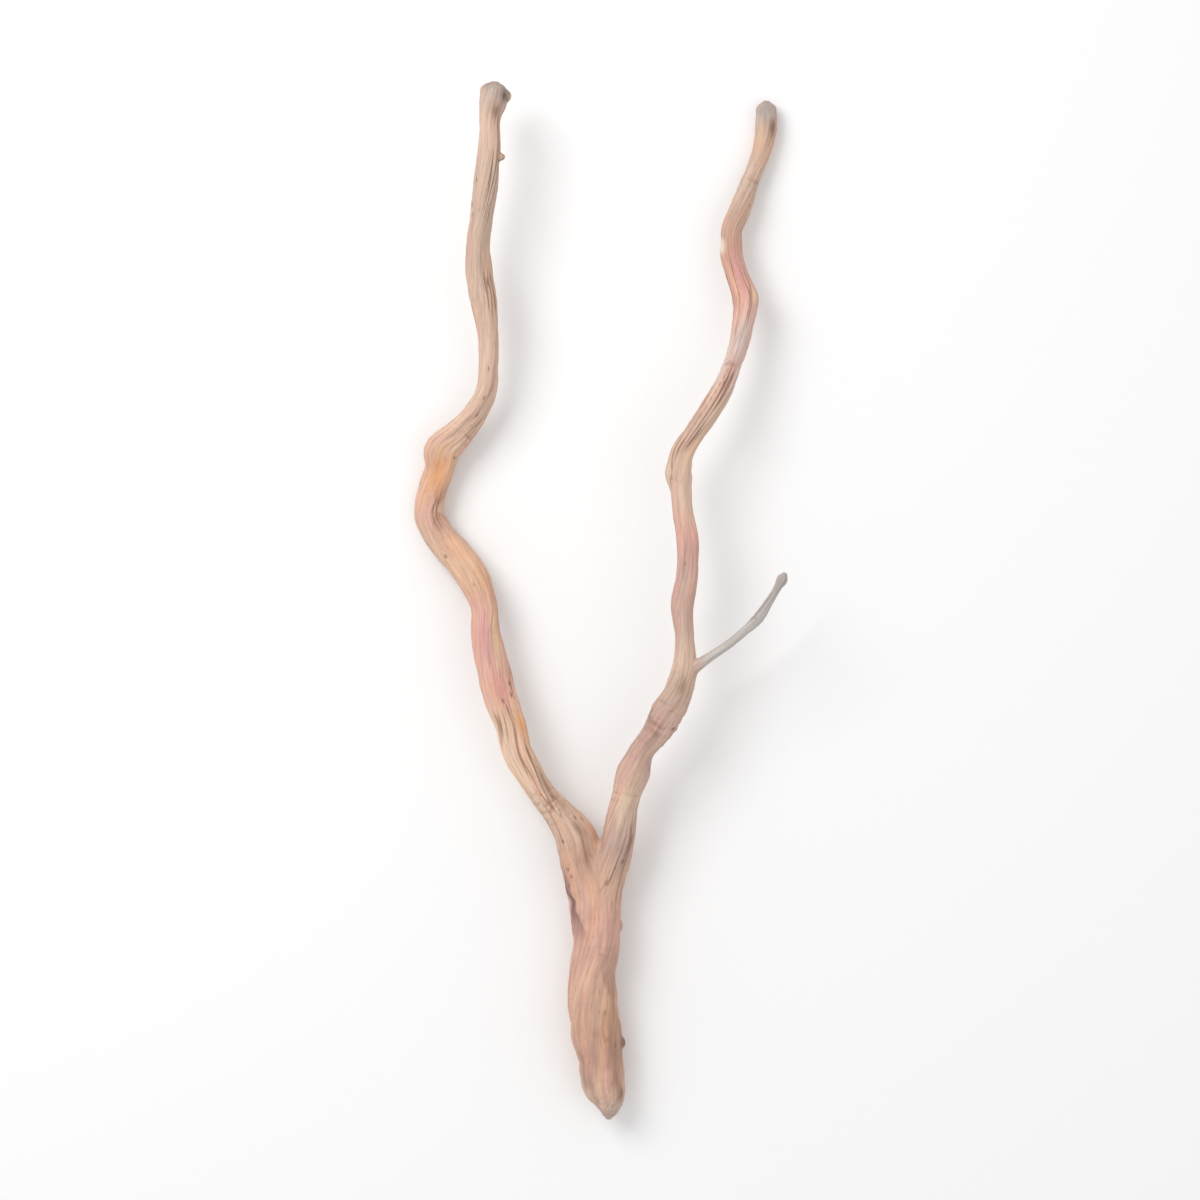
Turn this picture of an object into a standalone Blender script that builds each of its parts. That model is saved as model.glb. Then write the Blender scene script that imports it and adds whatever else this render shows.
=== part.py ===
"""A fallen tree branch, bare of bark, that lies on the ground.

The butt points to -Y and the tips to +Y. The ground is z = 0, and the origin is on it, under the
middle of the branch's outline. It rests in three places: on the butt, on the elbow of the left limb
and on the right tip. Each limb is a curve with a lobed section that turns slowly, as the grain of
such wood does. The branch is parted at its two forks.
"""

import math
from collections import namedtuple

import bmesh
import bpy
import numpy as np
from mathutils import Matrix, Vector

MM = 0.001

# A place on a limb's centre line, in millimetres, and the limb's radius there
Station = namedtuple("Station", "x y z radius")

# The stem and the left limb, from the butt to the left tip
MAIN = [
    Station(8, -451, 25, 2.5),
    Station(8.5, -445, 24, 7.5),
    Station(8, -434, 23, 14.3),
    Station(4, -418, 22.5, 18),
    Station(1.5, -396, 22, 19.5),
    Station(-3.5, -374, 22, 22.5),
    Station(-6.5, -350, 22.5, 22.8),
    Station(-6.5, -325, 23.5, 20.3),
    Station(-2.5, -300, 25, 19.3),
    Station(-3.5, -274, 26, 20),
    Station(-8, -250, 27.5, 19.5),
    Station(-15.5, -228, 29, 18),
    Station(-22.5, -206, 31, 17),
    Station(-35.5, -186, 33, 13.4),
    Station(-49, -169, 35, 11.8),
    Station(-60, -151, 36.5, 12.5),
    Station(-71, -132, 38, 13),
    Station(-77.5, -108, 38.5, 12.8),
    Station(-87, -82, 37.5, 13.5),
    Station(-93.5, -56, 35, 13.3),
    Station(-98, -30, 32, 12),
    Station(-99.5, -6, 28, 12),
    Station(-108, 15, 23.5, 14.3),
    Station(-124, 37, 18.5, 15.5),
    Station(-138.5, 54.5, 14, 14.5),
    Station(-149, 74, 12, 13),
    Station(-146, 95, 12.5, 12.2),
    Station(-139.5, 114, 14.5, 12),
    Station(-137, 129, 17.8, 12.8),
    Station(-123.5, 144.5, 21.2, 11.7),
    Station(-108.5, 162, 25, 10.7),
    Station(-98.5, 181, 29, 9.3),
    Station(-96, 204, 33.5, 9),
    Station(-96.5, 230, 38, 9.5),
    Station(-99.5, 255, 42, 11.5),
    Station(-104, 281, 45, 11),
    Station(-105, 306, 47.5, 9.7),
    Station(-101, 336, 50, 9.5),
    Station(-97, 362, 52, 10.5),
    Station(-94.5, 388, 53.5, 9.5),
    Station(-94.5, 413, 55, 9.5),
    Station(-92, 432, 56, 11.5),
    Station(-90.5, 441, 56.5, 9.5),
    Station(-90, 446, 57, 3),
]

# The right limb, from inside the stem to the right tip
RIGHT = [
    Station(-1, -305, 24, 9),
    Station(4, -265, 27, 14),
    Station(9, -236, 31, 15),
    Station(15.5, -210, 35, 15.3),
    Station(19.5, -186, 39, 13.2),
    Station(23.5, -169, 42, 12.2),
    Station(29, -151, 45, 13.5),
    Station(36.5, -132, 48, 10.8),
    Station(48, -116, 50, 11.4),
    Station(57.5, -98, 52, 12.9),
    Station(67.5, -79, 53.5, 11.9),
    Station(73, -59, 54.5, 11),
    Station(73.5, -34, 55.5, 9),
    Station(71.5, -4, 56, 10.4),
    Station(75, 21, 56, 9.5),
    Station(75.5, 52, 55.5, 9),
    Station(71.5, 74, 54.5, 8.3),
    Station(70, 92, 53.8, 8.4),
    Station(69, 108, 52.8, 9.8),
    Station(72, 125, 51, 9.5),
    Station(82.3, 143, 49, 8.6),
    Station(94, 161, 46.5, 9.4),
    Station(103.5, 178, 43.5, 9.9),
    Station(111.8, 196, 40.5, 8.5),
    Station(119, 215, 37.5, 8.3),
    Station(124.3, 238, 33.5, 9.4),
    Station(126.8, 260, 30, 10.4),
    Station(119.5, 283, 27, 9),
    Station(114.3, 305, 23.5, 9.4),
    Station(114.5, 322, 21, 8.9),
    Station(121, 338, 18, 9.5),
    Station(128.3, 356, 14.5, 8.3),
    Station(134.5, 372, 11.5, 8),
    Station(141, 389, 9, 8.5),
    Station(145.5, 407, 8.5, 9),
    Station(146.3, 424, 8.5, 8.5),
    Station(146, 433, 8.5, 6),
    Station(146, 436, 8.5, 2),
]

# The side twig, from inside the right limb to its end knob
TWIG = [
    Station(66, -77, 54, 5),
    Station(78, -62, 56.5, 5.5),
    Station(91.5, -52, 60, 4.5),
    Station(108.5, -40, 64.5, 4),
    Station(124, -27, 69, 4.2),
    Station(136, -15.5, 72.4, 5),
    Station(145.5, -1, 76, 3.6),
    Station(152.5, 11, 79, 3.2),
    Station(156.5, 18.5, 81, 4),
    Station(158.5, 22.5, 82, 1.5),
]

# Where the branch is parted, as distances in millimetres along the limb from its first station
LEFT_LIMB_START = 292
RIGHT_LIMB_START = 125
RIGHT_LEADER_START = 290
TWIG_START = 33
PARTING_GAP = 0.3

# Fineness of the curves: spacing of the rings, and sides of the section. The partings are
# placed on a finer path, and face the way that the limb has over a short reach to both sides.
RING_SPACING = 9
FINE_SPACING = 1
DIRECTION_REACH = 3
MAIN_SIDES = 20
RIGHT_SIDES = 16
TWIG_SIDES = 10

# The section's lobes: waves around it, depth as a share of the radius, and place in radians
LOBES = [(2, 0.06, 0.4), (3, 0.045, 1.7), (5, 0.02, 0.9)]
LENGTH_OF_ONE_TURN = 420

# Points nearer than the first are one, and points nearer to a cut than the second lie on it
WELD = 0.01
CUT_TOLERANCE = 0.002

# A lump is a small ball fused to the wood: centre and radius
Lump = namedtuple("Lump", "x y z radius")
LUMP_SUBDIVISIONS = 2
STEM_LUMPS = [
    Lump(18.5, -386, 22, 4.5),
    Lump(14, -428, 23, 4.5),
    Lump(14, -284, 27, 5),
]
LEFT_LUMPS = [Lump(-80.5, 434, 56, 4.2)]

# The broken spur near the left tip: its root, its end, and its thickness at both
SPUR_ROOT = (-95, 377, 53)
SPUR_END = (-83, 382.5, 56)
SPUR_RADII = (3, 1.6)
SPUR_SIDES = 8

# A swelling moves the surface outwards, or inwards where it is negative, around one place
Swelling = namedtuple("Swelling", "x y z width height")
MAIN_SWELLINGS = [
    Swelling(-22, -246, 34, 8, -2.2),
    Swelling(-21, -262, 33, 8, -2.6),
    Swelling(-20, -278, 31, 8, -2.0),
    Swelling(-150, 72, 22, 12, 0.8),
    Swelling(-149, 131, 20, 9, 1.6),
    Swelling(-127, 120, 24, 10, 1.0),
    Swelling(-108, 262, 52, 10, 1.5),
]
RIGHT_SWELLINGS = [
    Swelling(60, 108, 56, 8, 2.2),
    Swelling(136, 262, 33, 9, 1.4),
    Swelling(104, 312, 26, 8, -1.5),
    Swelling(62, -86, 66, 12, 1.2),
]

# How far the wood flows together at the two forks, and how often it is smoothed there
MAIN_CROTCH = (3, -214, 34)
MAIN_CROTCH_REACH = 26
TWIG_CROTCH = (80, -60, 57)
TWIG_CROTCH_REACH = 12
CROTCH_SMOOTHING = 4
SMOOTHING_SHARE = 0.5

# Moves the middle of the outline onto the origin
CENTRING = (1.0, 2.5, 0)

# Colours and roughness of the wood
WOOD_ROUGHNESS = 0.75
COLOURS = {
    "stem": "#C9A08A",
    "left_limb": "#DDAE8E",
    "right_limb_lower": "#C4998A",
    "right_limb_upper": "#D0A08F",
    "side_twig": "#B9B0A8",
}


def clear_scene():
    for thing in list(bpy.data.objects):
        bpy.data.objects.remove(thing, do_unlink=True)


def new_collection(name):
    collection = bpy.data.collections.new(name)
    bpy.context.scene.collection.children.link(collection)
    return collection


def linear(value):
    return value / 12.92 if value <= 0.04045 else ((value + 0.055) / 1.055) ** 2.4


def wood(name, colour):
    """Bare weathered wood in one colour, given as sRGB hex."""
    material = bpy.data.materials.new(name)
    material.use_nodes = True
    shader = material.node_tree.nodes["Principled BSDF"]
    channels = [linear(int(colour[i : i + 2], 16) / 255) for i in (1, 3, 5)]
    shader.inputs["Base Color"].default_value = (*channels, 1)
    shader.inputs["Roughness"].default_value = WOOD_ROUGHNESS
    shader.inputs["Metallic"].default_value = 0
    return material


def smooth_path(stations, spacing):
    """Rows of x, y, z and radius in metres along a smooth curve through the stations."""
    rows = np.array(stations, float)
    spans = np.linalg.norm(np.diff(rows[:, :3], axis=0), axis=1)
    slopes = np.diff(rows, axis=0) / spans[:, None]
    before = spans[:-1, None]
    after = spans[1:, None]
    middle = (slopes[:-1] * after + slopes[1:] * before) / (before + after)
    tangents = np.vstack([slopes[:1], middle, slopes[-1:]])
    path = [rows[:1]]
    for i, span in enumerate(spans):
        pieces = max(1, round(span / spacing))
        t = (np.arange(1, pieces + 1) / pieces)[:, None]
        path.append(
            (2 * t**3 - 3 * t**2 + 1) * rows[i]
            + (t**3 - 2 * t**2 + t) * span * tangents[i]
            + (3 * t**2 - 2 * t**3) * rows[i + 1]
            + (t**3 - t**2) * span * tangents[i + 1]
        )
    return np.vstack(path) * MM


def distances(path):
    """How far along the limb each row of its path is, in metres."""
    steps = np.linalg.norm(np.diff(path[:, :3], axis=0), axis=1)
    return np.concatenate([[0], np.cumsum(steps)])


def place_along(path, distance):
    """The point at a distance in metres along a path, and the direction there."""
    along = distances(path)
    reach = DIRECTION_REACH * MM
    ends = [
        Vector([np.interp(distance + side, along, path[:, axis]) for axis in range(3)])
        for side in (-reach, reach)
    ]
    return (ends[0] + ends[1]) / 2, (ends[1] - ends[0]).normalized()


def section(name, sides, collection):
    """A closed lobed outline of radius 1, which the limbs' curves scale and turn."""
    data = bpy.data.curves.new(name, "CURVE")
    data.dimensions = "2D"
    spline = data.splines.new("POLY")
    spline.points.add(sides - 1)
    for i, point in enumerate(spline.points):
        angle = 2 * math.pi * i / sides
        radius = 1 + sum(d * math.cos(n * angle + place) for n, d, place in LOBES)
        point.co = (radius * math.cos(angle), radius * math.sin(angle), 0, 1)
    spline.use_cyclic_u = True
    outline = bpy.data.objects.new(name, data)
    outline.hide_render = True
    outline.display_type = "WIRE"
    collection.objects.link(outline)
    return outline


def limb_mesh(name, stations, outline):
    """The whole limb as a closed mesh, made from a curve with the lobed section."""
    path = smooth_path(stations, RING_SPACING)
    turn = 2 * math.pi * distances(path) / (LENGTH_OF_ONE_TURN * MM)
    data = bpy.data.curves.new(name, "CURVE")
    data.dimensions = "3D"
    data.twist_mode = "Z_UP"
    data.bevel_mode = "OBJECT"
    data.bevel_object = outline
    data.use_fill_caps = True
    spline = data.splines.new("POLY")
    spline.points.add(len(path) - 1)
    for point, row, tilt in zip(spline.points, path, turn):
        point.co = (*row[:3], 1)
        point.radius = row[3]
        point.tilt = tilt
    curve = bpy.data.objects.new(name, data)
    bpy.context.scene.collection.objects.link(curve)
    bpy.context.view_layer.update()
    mesh = bpy.data.meshes.new_from_object(
        curve.evaluated_get(bpy.context.evaluated_depsgraph_get())
    )
    bpy.data.objects.remove(curve)
    form = bmesh.new()
    form.from_mesh(mesh)
    bmesh.ops.remove_doubles(form, verts=form.verts, dist=WELD * MM)
    bmesh.ops.recalc_face_normals(form, faces=form.faces)
    form.to_mesh(mesh)
    form.free()
    return mesh


def swell(mesh, swellings):
    """Moves the surface in or out around each swelling's centre."""
    normals = [vertex.normal.copy() for vertex in mesh.vertices]
    for x, y, z, width, height in swellings:
        centre = Vector((x, y, z)) * MM
        for vertex, normal in zip(mesh.vertices, normals):
            share = (vertex.co - centre).length / (width * MM)
            vertex.co += normal * height * MM * math.exp(-share * share)


def keep_side(mesh, point, direction):
    """Cuts a mesh flat at a point and keeps the part that lies on the direction's side."""
    form = bmesh.new()
    form.from_mesh(mesh)
    geometry = form.verts[:] + form.edges[:] + form.faces[:]
    cut = bmesh.ops.bisect_plane(
        form,
        geom=geometry,
        dist=CUT_TOLERANCE * MM,
        plane_co=point,
        plane_no=direction,
        clear_inner=True,
    )
    rim = [item for item in cut["geom_cut"] if isinstance(item, bmesh.types.BMEdge)]
    bmesh.ops.holes_fill(form, edges=rim)
    bmesh.ops.recalc_face_normals(form, faces=form.faces)
    form.to_mesh(mesh)
    form.free()
    return mesh


def between(mesh, path, start=None, end=None):
    """A copy of a limb's mesh, kept from one distance in millimetres along its path to another."""
    piece = mesh.copy()
    half_gap = PARTING_GAP / 2
    if start is not None:
        point, direction = place_along(path, (start + half_gap) * MM)
        keep_side(piece, point, direction)
    if end is not None:
        point, direction = place_along(path, (end - half_gap) * MM)
        keep_side(piece, point, -direction)
    return piece


def add_object(name, mesh, collection):
    thing = bpy.data.objects.new(name, mesh)
    collection.objects.link(thing)
    return thing


def fuse(thing, mesh, cutters):
    """Joins another closed mesh to an object with a Boolean union."""
    helper = add_object(thing.name + "_addition", mesh, cutters)
    helper.hide_render = True
    helper.display_type = "WIRE"
    union = thing.modifiers.new("union", "BOOLEAN")
    union.operation = "UNION"
    union.object = helper
    bpy.context.view_layer.update()
    graph = bpy.context.evaluated_depsgraph_get()
    joined = bpy.data.meshes.new_from_object(thing.evaluated_get(graph))
    thing.modifiers.remove(union)
    bpy.data.objects.remove(helper)
    thing.data = joined


def ball(lump):
    mesh = bpy.data.meshes.new("lump")
    form = bmesh.new()
    bmesh.ops.create_icosphere(form, subdivisions=LUMP_SUBDIVISIONS, radius=lump.radius * MM)
    bmesh.ops.translate(form, verts=form.verts, vec=Vector(lump[:3]) * MM)
    form.to_mesh(mesh)
    form.free()
    return mesh


def broken_spur():
    root = Vector(SPUR_ROOT) * MM
    end = Vector(SPUR_END) * MM
    mesh = bpy.data.meshes.new("spur")
    form = bmesh.new()
    bmesh.ops.create_cone(
        form,
        cap_ends=True,
        segments=SPUR_SIDES,
        radius1=SPUR_RADII[0] * MM,
        radius2=SPUR_RADII[1] * MM,
        depth=(end - root).length,
    )
    bmesh.ops.rotate(
        form, verts=form.verts, matrix=(end - root).to_track_quat("Z", "Y").to_matrix()
    )
    bmesh.ops.translate(form, verts=form.verts, vec=(root + end) / 2)
    form.to_mesh(mesh)
    form.free()
    return mesh


def soften(thing, centre, reach):
    """Rounds the seam where two limbs meet, so that the wood flows together."""
    form = bmesh.new()
    form.from_mesh(thing.data)
    place = Vector(centre) * MM
    near = [v for v in form.verts if (v.co - place).length < reach * MM]
    for _ in range(CROTCH_SMOOTHING):
        bmesh.ops.smooth_vert(
            form,
            verts=near,
            factor=SMOOTHING_SHARE,
            use_axis_x=True,
            use_axis_y=True,
            use_axis_z=True,
        )
    form.to_mesh(thing.data)
    form.free()


def rest_on_ground(thing):
    """Wears the lowest wood flat where it touches the ground."""
    keep_side(thing.data, Vector((0, 0, 0)), Vector((0, 0, 1)))


def finish(thing):
    """Centres the piece with the rest, and gives it smooth shading and its own wood."""
    thing.data.transform(Matrix.Translation(Vector(CENTRING) * MM))
    thing.data.shade_smooth()
    thing.data.materials.clear()
    thing.data.materials.append(wood(thing.name + "_wood", COLOURS[thing.name]))


def main():
    clear_scene()
    branch = new_collection("fallen_branch")
    cutters = new_collection("cutters")

    main_mesh = limb_mesh("main", MAIN, section("main_section", MAIN_SIDES, cutters))
    right_mesh = limb_mesh("right", RIGHT, section("right_section", RIGHT_SIDES, cutters))
    twig_mesh = limb_mesh("twig", TWIG, section("twig_section", TWIG_SIDES, cutters))
    swell(main_mesh, MAIN_SWELLINGS)
    swell(right_mesh, RIGHT_SWELLINGS)
    main_path = smooth_path(MAIN, FINE_SPACING)
    right_path = smooth_path(RIGHT, FINE_SPACING)
    twig_path = smooth_path(TWIG, FINE_SPACING)

    trunk = between(main_mesh, main_path, end=LEFT_LIMB_START)
    stem = add_object("stem", trunk, branch)
    fuse(stem, between(right_mesh, right_path, end=RIGHT_LIMB_START), cutters)
    soften(stem, MAIN_CROTCH, MAIN_CROTCH_REACH)
    for lump in STEM_LUMPS:
        fuse(stem, ball(lump), cutters)

    left = add_object("left_limb", between(main_mesh, main_path, start=LEFT_LIMB_START), branch)
    for lump in LEFT_LUMPS:
        fuse(left, ball(lump), cutters)
    fuse(left, broken_spur(), cutters)

    lower_mesh = between(right_mesh, right_path, RIGHT_LIMB_START, RIGHT_LEADER_START)
    lower = add_object("right_limb_lower", lower_mesh, branch)
    fuse(lower, between(twig_mesh, twig_path, end=TWIG_START), cutters)
    soften(lower, TWIG_CROTCH, TWIG_CROTCH_REACH)

    upper_mesh = between(right_mesh, right_path, start=RIGHT_LEADER_START)
    upper = add_object("right_limb_upper", upper_mesh, branch)
    twig = add_object("side_twig", between(twig_mesh, twig_path, start=TWIG_START), branch)

    for thing in (stem, left, upper):
        rest_on_ground(thing)
    for thing in (stem, left, lower, upper, twig):
        finish(thing)


main()
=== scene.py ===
"""A fallen tree branch, bare of bark: its worn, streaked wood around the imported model.

Lengths in the tables below are millimetres; the meshes that are made from them are in metres.
"""

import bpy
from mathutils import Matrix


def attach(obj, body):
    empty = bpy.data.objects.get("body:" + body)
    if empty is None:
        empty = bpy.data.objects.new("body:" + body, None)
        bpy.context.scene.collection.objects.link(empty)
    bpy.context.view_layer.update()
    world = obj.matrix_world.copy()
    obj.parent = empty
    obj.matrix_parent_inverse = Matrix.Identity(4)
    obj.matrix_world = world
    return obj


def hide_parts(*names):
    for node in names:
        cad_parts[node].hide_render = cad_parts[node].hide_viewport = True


bl_info = {
    "name": "Fallen Tree Branch",
    "version": (1, 0, 0),
    "blender": (4, 5, 0),
    "location": "View3D > Sidebar > Branch",
    "description": "Dresses a bare forked branch in worn, streaked wood on a pale studio floor",
    "category": "Object",
}

import math
from collections import namedtuple

import bmesh
import bpy
import numpy as np
from bpy.props import FloatProperty, FloatVectorProperty, IntProperty, PointerProperty
from mathutils import Vector

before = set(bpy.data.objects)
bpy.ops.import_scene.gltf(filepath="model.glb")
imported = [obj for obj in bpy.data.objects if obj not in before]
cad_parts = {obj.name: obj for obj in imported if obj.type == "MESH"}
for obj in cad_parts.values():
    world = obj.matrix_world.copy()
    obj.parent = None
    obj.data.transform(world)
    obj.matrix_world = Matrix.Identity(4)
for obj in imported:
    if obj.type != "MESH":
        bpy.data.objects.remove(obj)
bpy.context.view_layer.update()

MM = 0.001
BODY = "root"

# Spacing along a centre line, and how far on each side of a place its direction is read
PATH_STEP = 1.0
DIRECTION_REACH = 3.0

# Each piece is made this much too long and then cut, and a limb overlaps the piece before it
BEYOND_THE_CUT = 4.0
SEAM_OVERLAP = 0.4

# How near a cut faces are cut, in mean radii, and the distances at which points count as one
NEAR_A_CUT = 3
CUT_TOLERANCE = 0.01
MERGE_DISTANCE = 0.002

# Most corners of a face of the skin; the flat caps at the partings have more
SKIN_CORNERS = 5

# The places that the grain follows: their spacing, how many lie beyond each end, and their easing
GUIDE_SPACING = 7.0
GUIDES_BEYOND = 4
GUIDE_EASE = 12.0

# Where the ends are worn round: their length, the steepness that starts to show the end grain, and
# how much steeper it is where the end grain shows in full
SHOULDER = 14.0
WORN_FROM = 0.55
WORN_RANGE = 0.9

# How much darker the underside's tone is made, and how quickly that fades up the sides
UNDERSIDE_DARKENING = 0.45
UNDERSIDE_DARKENING_FADE = 1.5

# Points handled at once, to keep the tables of distances small, and the stride of the rough search
CHUNK = 20000
STRIDE = 8

# How fine the meshes are: the spacing of the rings along a limb and the points in each, and the
# voxels of the forks
LEFT_LIMB_RINGS = (1.1, 140)
LEADER_RINGS = (1.0, 120)
TWIG_RINGS = (0.6, 64)
ROUGH_RINGS = (2.5, 40)
STEM_VOXEL = 1.52
RIGHT_LIMB_VOXEL = 1.0

# Lengths over which the section and the grain turn once
LENGTH_OF_ONE_TURN = 420
GRAIN_TURN = 900

# The branch's centre lines, the same as in the solids: stations of x, y, z and radius
MAIN_STATIONS = [
    (8, -451, 25, 2.5), (8.5, -445, 24, 7.5), (8, -434, 23, 14.3), (4, -418, 22.5, 18),
    (1.5, -396, 22, 19.5), (-3.5, -374, 22, 22.5), (-6.5, -350, 22.5, 22.8),
    (-6.5, -325, 23.5, 20.3), (-2.5, -300, 25, 19.3), (-3.5, -274, 26, 20), (-8, -250, 27.5, 19.5),
    (-15.5, -228, 29, 18), (-22.5, -206, 31, 17), (-35.5, -186, 33, 13.4), (-49, -169, 35, 11.8),
    (-60, -151, 36.5, 12.5), (-71, -132, 38, 13), (-77.5, -108, 38.5, 12.8), (-87, -82, 37.5, 13.5),
    (-93.5, -56, 35, 13.3), (-98, -30, 32, 12), (-99.5, -6, 28, 12), (-108, 15, 23.5, 14.3),
    (-124, 37, 18.5, 15.5), (-138.5, 54.5, 14, 14.5), (-149, 74, 12, 13), (-146, 95, 12.5, 12.2),
    (-139.5, 114, 14.5, 12), (-137, 129, 17.8, 12.8), (-123.5, 144.5, 21.2, 11.7),
    (-108.5, 162, 25, 10.7), (-98.5, 181, 29, 9.3), (-96, 204, 33.5, 9), (-96.5, 230, 38, 9.5),
    (-99.5, 255, 42, 11.5), (-104, 281, 45, 11), (-105, 306, 47.5, 9.7), (-101, 336, 50, 9.5),
    (-97, 362, 52, 10.5), (-94.5, 388, 53.5, 9.5), (-94.5, 413, 55, 9.5), (-92, 432, 56, 11.5),
    (-90.5, 441, 56.5, 9.5), (-90, 446, 57, 3),
]
RIGHT_STATIONS = [
    (-1, -305, 24, 9), (4, -265, 27, 14), (9, -236, 31, 15), (15.5, -210, 35, 15.3),
    (19.5, -186, 39, 13.2), (23.5, -169, 42, 12.2), (29, -151, 45, 13.5), (36.5, -132, 48, 10.8),
    (48, -116, 50, 11.4), (57.5, -98, 52, 12.9), (67.5, -79, 53.5, 11.9), (73, -59, 54.5, 11),
    (73.5, -34, 55.5, 9), (71.5, -4, 56, 10.4), (75, 21, 56, 9.5), (75.5, 52, 55.5, 9),
    (71.5, 74, 54.5, 8.3), (70, 92, 53.8, 8.4), (69, 108, 52.8, 9.8), (72, 125, 51, 9.5),
    (82.3, 143, 49, 8.6), (94, 161, 46.5, 9.4), (103.5, 178, 43.5, 9.9), (111.8, 196, 40.5, 8.5),
    (119, 215, 37.5, 8.3), (124.3, 238, 33.5, 9.4), (126.8, 260, 30, 10.4), (119.5, 283, 27, 9),
    (114.3, 305, 23.5, 9.4), (114.5, 322, 21, 8.9), (121, 338, 18, 9.5), (128.3, 356, 14.5, 8.3),
    (134.5, 372, 11.5, 8), (141, 389, 9, 8.5), (145.5, 407, 8.5, 9), (146.3, 424, 8.5, 8.5),
    (146, 433, 8.5, 6), (146, 436, 8.5, 2),
]
TWIG_STATIONS = [
    (66, -77, 54, 5), (78, -62, 56.5, 5.5), (91.5, -52, 60, 4.5), (108.5, -40, 64.5, 4),
    (124, -27, 69, 4.2), (136, -15.5, 72.4, 5), (145.5, -1, 76, 3.6), (152.5, 11, 79, 3.2),
    (156.5, 18.5, 81, 4), (158.5, 22.5, 82, 1.5),
]
CENTRING = (1.0, 2.5, 0)

# Where the branch is parted at its forks, as distances along each limb
LEFT_LIMB_START = 292
RIGHT_LIMB_START = 125
RIGHT_LEADER_START = 290
TWIG_START = 33

# The section's lobes, which turn slowly along a limb: number, depth and angle
LOBES = [(2, 0.06, 0.4), (3, 0.045, 1.7), (5, 0.02, 0.9)]

# Swellings, furrows and nubs of the form: place, width, height and how steep their sides are
ROUND, STEEP = 2, 4
Swelling = namedtuple("Swelling", "x y z width height steepness", defaults=[ROUND])
MAIN_SWELLINGS = [
    Swelling(-22, -246, 34, 7, -2.4),
    Swelling(-21, -262, 33, 7, -3.0),
    Swelling(-20, -278, 31, 7, -2.4),
    Swelling(-150, 72, 22, 12, 0.8),
    Swelling(-149, 131, 20, 9, 1.6),
    Swelling(-127, 120, 24, 10, 1.0),
    Swelling(-108, 262, 52, 10, 1.5),
    Swelling(20.5, -386, 22, 4.2, 3.2, STEEP),
    Swelling(18, -428, 23, 4.2, 3.0, STEEP),
    Swelling(17.5, -428, 31, 4.0, 2.2, STEEP),
    Swelling(16.5, -284, 27, 4.5, 3.0, STEEP),
    Swelling(-81, 434, 56, 4.6, 4.0, STEEP),
    Swelling(-84.5, 381, 55.5, 3.4, 4.6, STEEP),
]
RIGHT_SWELLINGS = [
    Swelling(60, 108, 56, 8, 2.2),
    Swelling(136, 262, 33, 9, 1.4),
    Swelling(104, 312, 26, 8, -1.5),
    Swelling(62, -86, 66, 12, 1.2),
]

# How softly two limbs flow together at a fork
MAIN_FORK_FLOW = 6.5
TWIG_FORK_FLOW = 4.0

# The wood's tones, and where each lies along the limbs, as distances from the first station
DUN = "#CDB29F"
TAN = "#D3AC94"
PALE = "#DBBCA6"
PALE_GREY = "#DCC6BC"
SAND = "#E8C6AC"
AMBER = "#DFB496"
PINK = "#DBAB9C"
ROSE = "#E0B0A0"
BROWN = "#C79D88"
MAUVE = "#C4A598"
GREY = "#B6A8A1"
TWIG_GREY = "#C9C1BB"
ASH = "#BEB6B2"
# The darker colour towards the underside
UNDERSIDE_DARK_COLOUR = "#A98C79"
MAIN_TONES = [
    (0, GREY), (18, PALE), (50, BROWN), (110, TAN), (170, PINK), (235, TAN), (275, PALE),
    (330, SAND), (365, SAND), (400, ROSE), (450, PINK), (490, AMBER), (545, PALE), (600, AMBER),
    (650, PALE), (720, PALE), (800, DUN), (880, DUN), (925, PALE), (956, GREY),
]
RIGHT_TONES = [
    (0, TAN), (60, TAN), (97, MAUVE), (135, PALE), (175, MAUVE), (205, MAUVE), (245, DUN),
    (265, PALE), (317, MAUVE), (345, MAUVE), (373, PINK), (405, PALE), (447, PALE), (470, DUN),
    (500, PALE), (530, PALE_GREY), (556, PALE_GREY), (600, ROSE), (644, BROWN), (690, DUN),
    (717, DUN), (745, TAN), (769, GREY), (781, GREY),
]
TWIG_TONES = [
    (0, MAUVE), (22, MAUVE), (45, TWIG_GREY), (80, TWIG_GREY), (98, ASH), (122, ASH), (141, GREY),
]
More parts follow.
